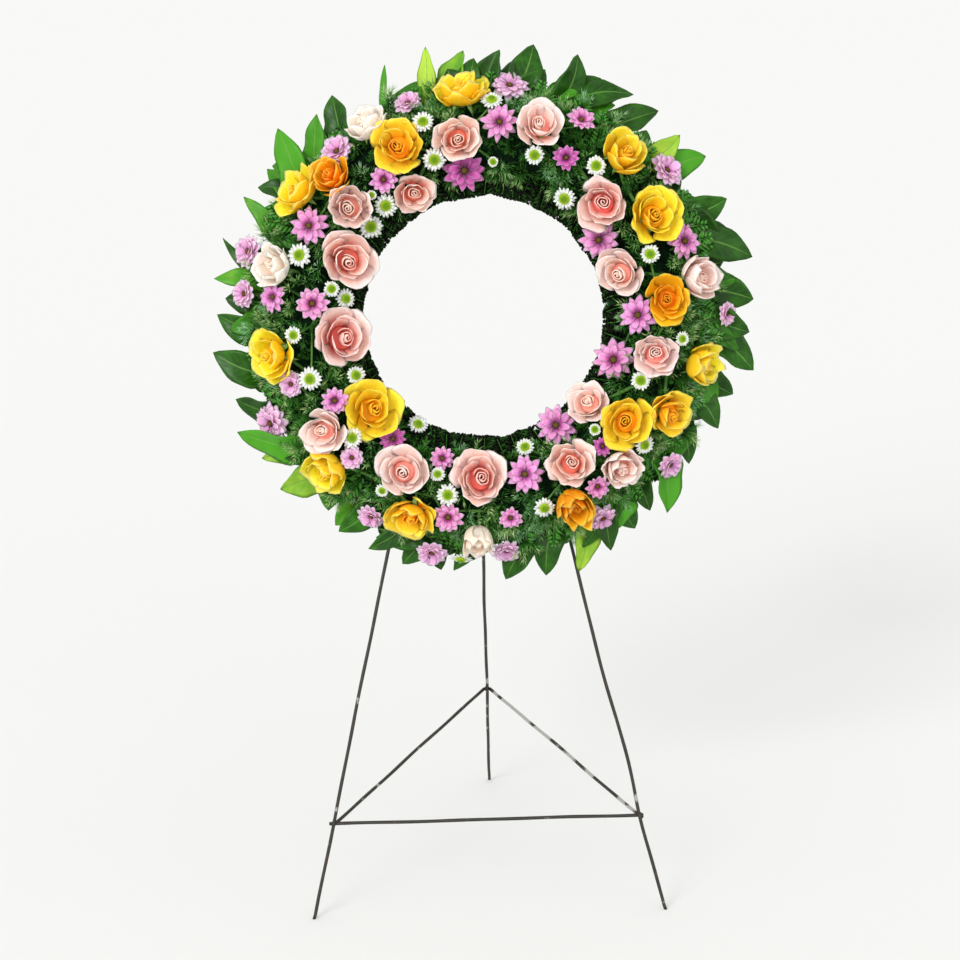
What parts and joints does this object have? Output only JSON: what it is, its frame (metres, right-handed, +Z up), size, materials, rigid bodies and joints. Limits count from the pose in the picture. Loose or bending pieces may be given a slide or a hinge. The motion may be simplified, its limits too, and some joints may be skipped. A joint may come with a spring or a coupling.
{
  "type": "standing funeral wreath on a wire easel",
  "caption": "Round funeral wreath of roses, daisies and button flowers in a foam ring with leafy border, on a three-legged welded wire easel.",
  "frame": {"origin": "on the floor, below the centre of the whole piece's bounding box", "axes": "+Z up, the wreath faces -Y and leans back, +X to the right seen from the front"},
  "size_m": [0.6172, 0.4332, 0.9907],
  "materials": {
    "easel_wire": "thin dark lacquer on drawn steel wire, half gloss",
    "tray_plastic": "moulded dark green plastic, satin",
    "floral_foam": "wet green floral foam, matt and porous",
    "yellow_petals": "golden yellow rose petals, soft satin",
    "pink_petals": "blush and salmon rose petals, soft satin",
    "cream_petals": "cream and peach rose petals, soft satin",
    "lilac_petals": "orchid lilac daisy petals, matt, round an olive disc",
    "button_petals": "white rim petals round a lime green dome, matt",
    "lemon_leaf": "glossy dark green leaf blades with a pale rib",
    "fern_needles": "fine soft green fern needles, matt"
  },
  "bodies": {
    "root": {"wreath_hoop": "easel_wire", "left_front_leg": "easel_wire", "right_front_leg": "easel_wire", "rear_leg": "easel_wire", "front_crossbar": "easel_wire", "left_brace": "easel_wire", "right_brace": "easel_wire", "ring_tray": "tray_plastic", "foam_ring": "floral_foam", "yellow_roses_1": "yellow_petals", "yellow_roses_2": "yellow_petals", "yellow_roses_3": "yellow_petals", "yellow_roses_4": "yellow_petals", "yellow_roses_5": "yellow_petals", "yellow_roses_6": "yellow_petals", "yellow_roses_7": "yellow_petals", "pink_roses_1": "pink_petals", "pink_roses_2": "pink_petals", "pink_roses_3": "pink_petals", "pink_roses_4": "pink_petals", "pink_roses_5": "pink_petals", "pink_roses_6": "pink_petals", "pink_roses_7": "pink_petals", "pink_roses_8": "pink_petals", "cream_rose_1": "cream_petals", "cream_rose_2": "cream_petals", "cream_rose_3": "cream_petals", "daisy_spray_1": "lilac_petals", "daisy_spray_2": "lilac_petals", "daisy_spray_3": "lilac_petals", "daisy_spray_4": "lilac_petals", "daisy_spray_5": "lilac_petals", "daisy_spray_6": "lilac_petals", "daisy_spray_7": "lilac_petals", "daisy_spray_8": "lilac_petals", "daisy_spray_9": "lilac_petals", "daisy_spray_10": "lilac_petals", "daisy_spray_11": "lilac_petals", "daisy_spray_12": "lilac_petals", "button_spray_1": "button_petals", "button_spray_2": "button_petals", "button_spray_3": "button_petals", "button_spray_4": "button_petals", "button_spray_5": "button_petals", "button_spray_6": "button_petals", "button_spray_7": "button_petals", "button_spray_8": "button_petals", "lemon_leaf_stem_1": "lemon_leaf", "lemon_leaf_stem_2": "lemon_leaf", "lemon_leaf_stem_3": "lemon_leaf", "lemon_leaf_stem_4": "lemon_leaf", "lemon_leaf_stem_5": "lemon_leaf", "fern_inner_1": "fern_needles", "fern_inner_2": "fern_needles", "fern_inner_3": "fern_needles", "fern_inner_4": "fern_needles", "fern_inner_5": "fern_needles", "fern_outer_1": "fern_needles", "fern_outer_2": "fern_needles", "fern_outer_3": "fern_needles"}
  },
  "joints": []
}
